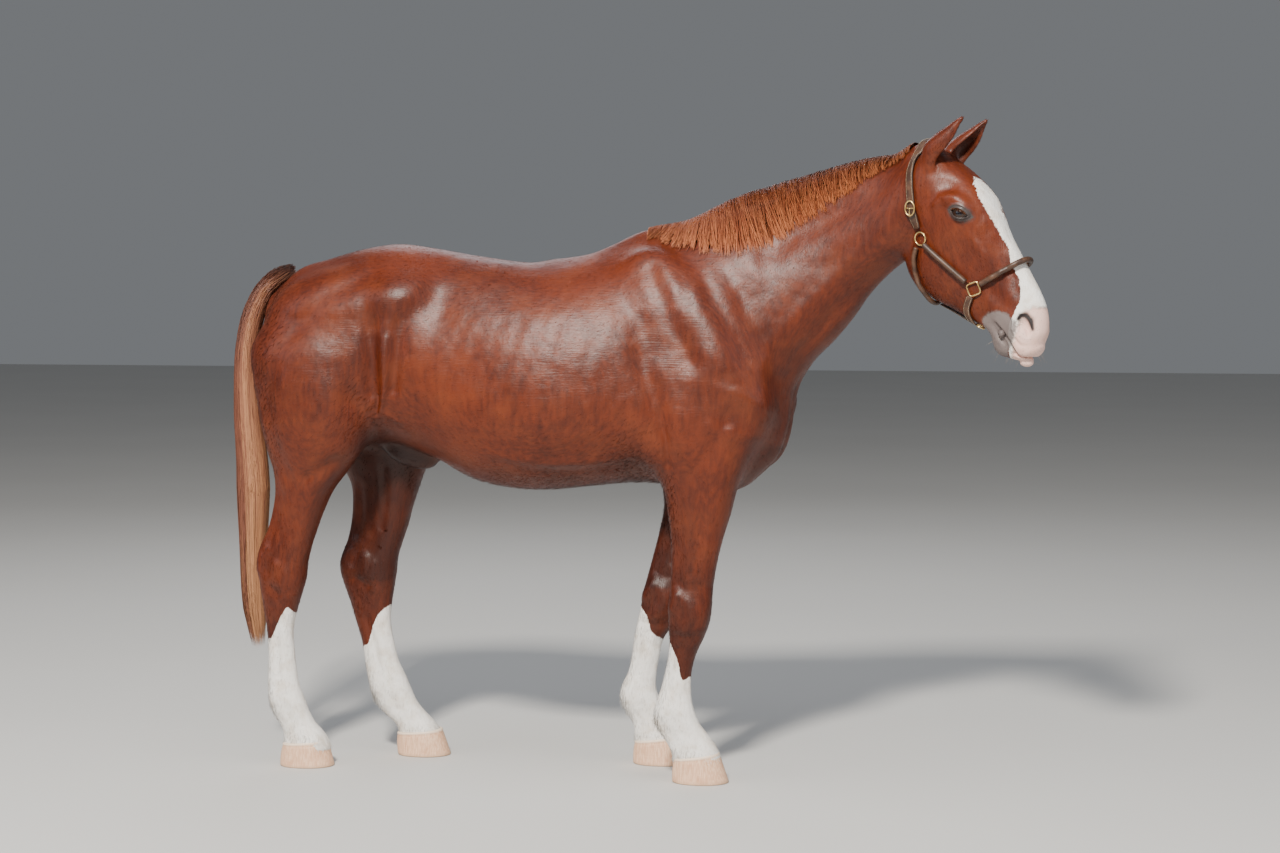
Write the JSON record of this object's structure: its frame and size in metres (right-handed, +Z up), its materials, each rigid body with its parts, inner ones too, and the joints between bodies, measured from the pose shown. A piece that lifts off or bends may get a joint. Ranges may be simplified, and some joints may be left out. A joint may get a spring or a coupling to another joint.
{
  "type": "horse",
  "caption": "Life-size chestnut riding horse standing at rest in a leather halter, head turned slightly to its right, white blaze and white lower legs.",
  "frame": {"origin": "on the floor under the middle of the model's bounding box", "axes": "+X towards the horse's head, +Y to the horse's left, +Z up"},
  "size_m": [2.5067, 0.6092, 1.9501],
  "materials": {
    "chestnut_coat": "short glossy hair lying flat",
    "white_coat": "short white hair lying flat",
    "mane_hair": "long red-brown hair",
    "tail_hair": "long flaxen and red-brown hair",
    "hoof_horn": "pale horn, lightly ringed",
    "eye": "wet, dark brown",
    "halter_leather": "satin dark brown, pale stitching on the crown strap",
    "halter_brass": "polished"
  },
  "bodies": {
    "root": {"buckle": "halter_brass", "cannon_fore_left": "white_coat", "cannon_fore_right": "white_coat", "cannon_hind_left": "white_coat", "cannon_hind_right": "white_coat", "chin_ring": "halter_brass", "ear_left": "chestnut_coat", "ear_right": "chestnut_coat", "eye_left": "eye", "eye_right": "eye", "forearm_left": "chestnut_coat", "forearm_right": "chestnut_coat", "gaskin_left": "chestnut_coat", "gaskin_right": "chestnut_coat", "halter_cheek_left": "halter_leather", "halter_cheek_right": "halter_leather", "halter_chin_left": "halter_leather", "halter_chin_right": "halter_leather", "halter_crown": "halter_leather", "halter_noseband": "halter_leather", "halter_throat": "halter_leather", "halter_under_jaw": "halter_leather", "head": "chestnut_coat", "hoof_fore_left": "hoof_horn", "hoof_fore_right": "hoof_horn", "hoof_hind_left": "hoof_horn", "hoof_hind_right": "hoof_horn", "mane": "mane_hair", "neck": "chestnut_coat", "pastern_fore_left": "white_coat", "pastern_fore_right": "white_coat", "pastern_hind_left": "white_coat", "pastern_hind_right": "white_coat", "ring_left": "halter_brass", "ring_right": "halter_brass", "square_left": "halter_brass", "square_right": "halter_brass", "tail": "tail_hair", "trunk": "chestnut_coat"}
  },
  "joints": []
}
